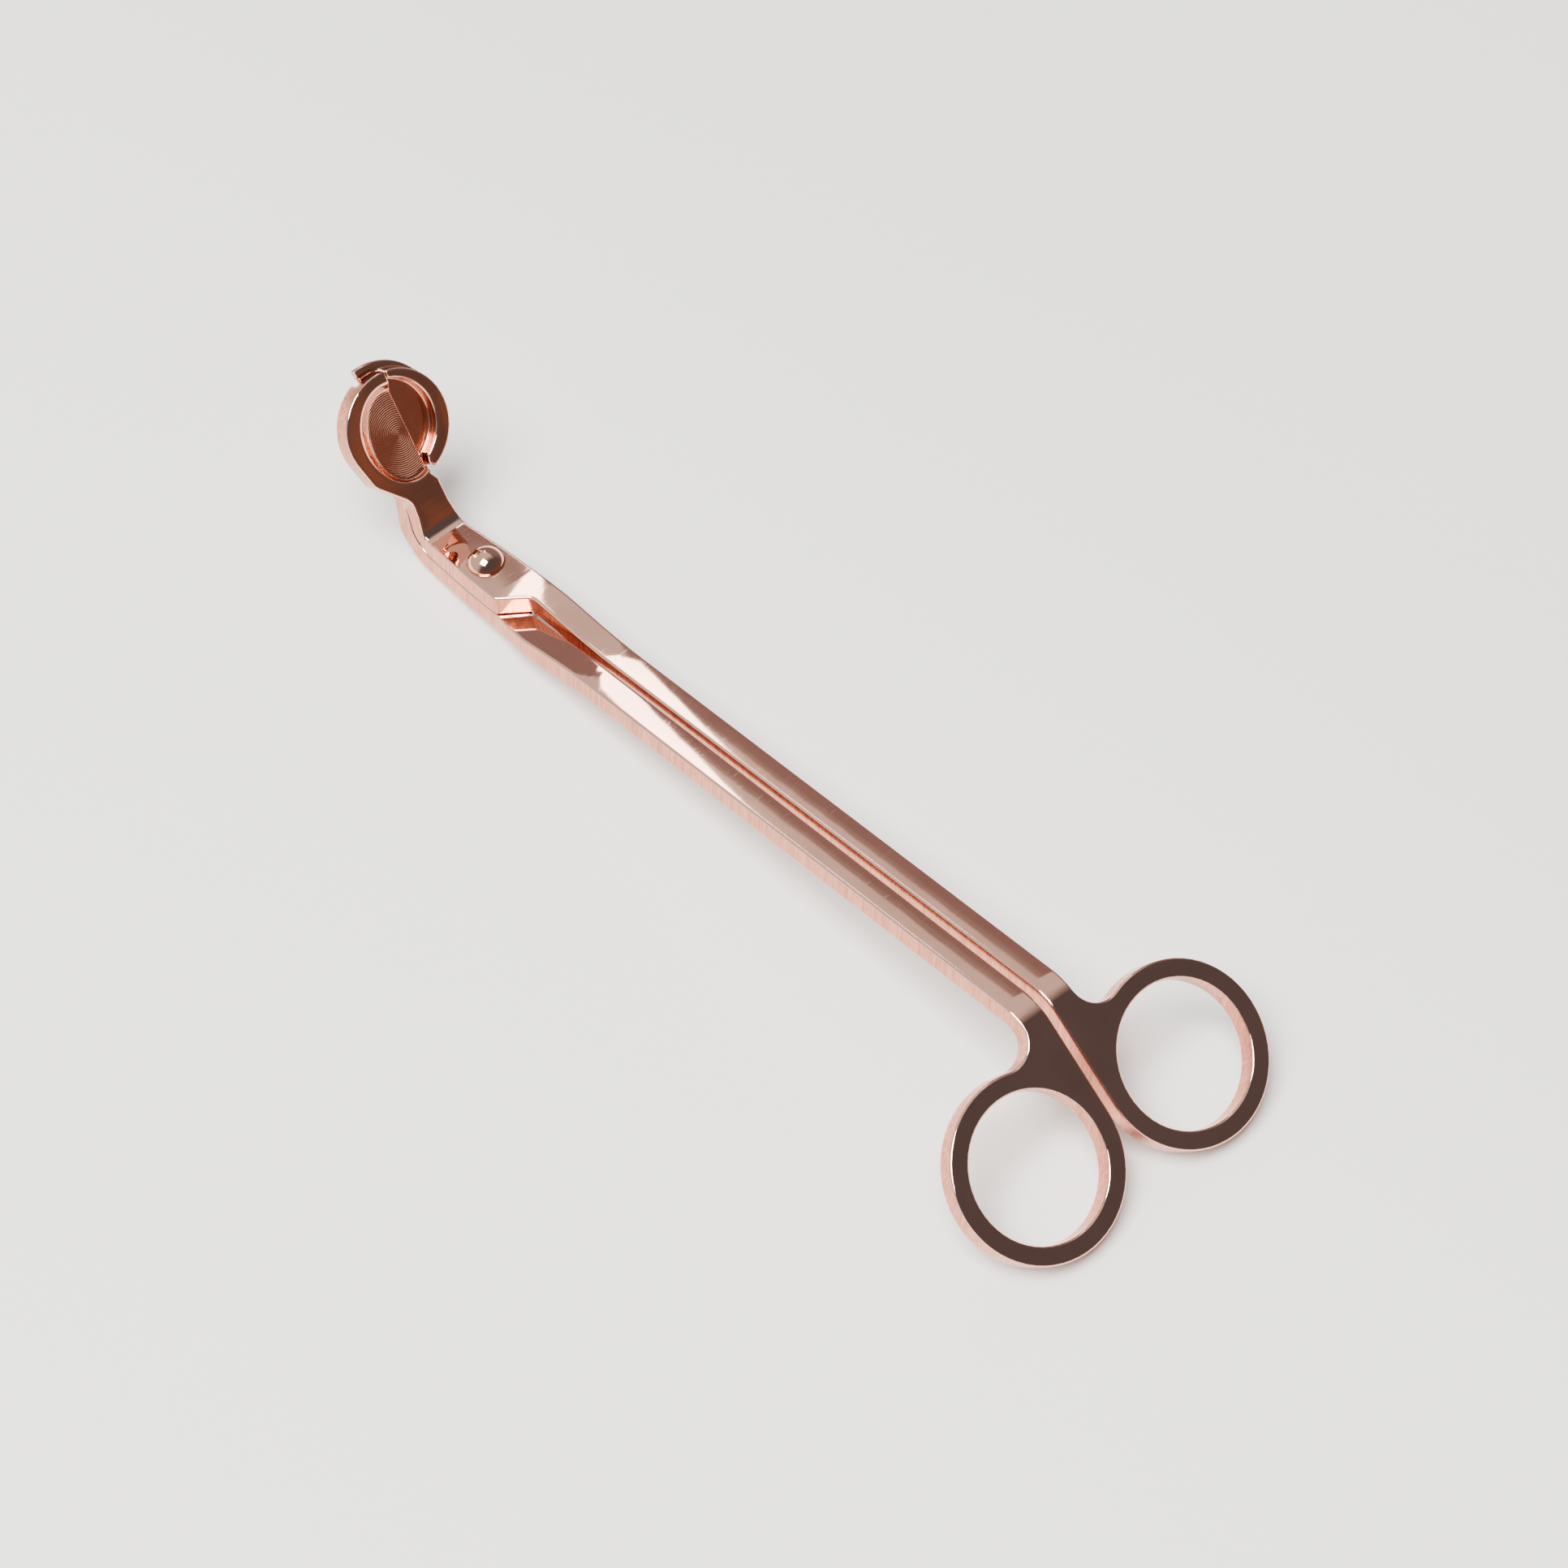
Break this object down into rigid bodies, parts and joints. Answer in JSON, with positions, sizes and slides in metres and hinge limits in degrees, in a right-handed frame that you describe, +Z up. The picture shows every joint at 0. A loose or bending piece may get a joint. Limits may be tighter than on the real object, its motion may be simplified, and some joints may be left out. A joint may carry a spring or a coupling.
{
  "type": "candle wick trimmer",
  "caption": "Scissor-action wick trimmer: crossing folded levers on a domed rivet, finger rings behind, and a small round dished head turned up in front.",
  "frame": {"origin": "centre of the footprint, on the surface that the closed trimmer lies on", "axes": "+X from the head towards the finger rings, +Z up from the surface, +Y towards the ring of the upper lever"},
  "size_m": [0.192, 0.0608, 0.0334],
  "materials": {
    "lever_metal": "mirror-polished rose-gold plating over steel, finely brushed on the narrow sides",
    "rivet_metal": "polished rose-gold plating over steel"
  },
  "bodies": {
    "lower": {"lower_lever": "lever_metal", "pivot_rivet": "rivet_metal", "rivet_washer": "rivet_metal"},
    "upper": {"upper_lever": "lever_metal"}
  },
  "joints": [
    {"name": "pivot", "type": "hinge", "parent": "lower", "child": "upper", "pos_m": [-0.06444, 0.0004, 0.00558], "axis": [-0.1184, 0, 0.993], "range_deg": [0, 40]}
  ]
}
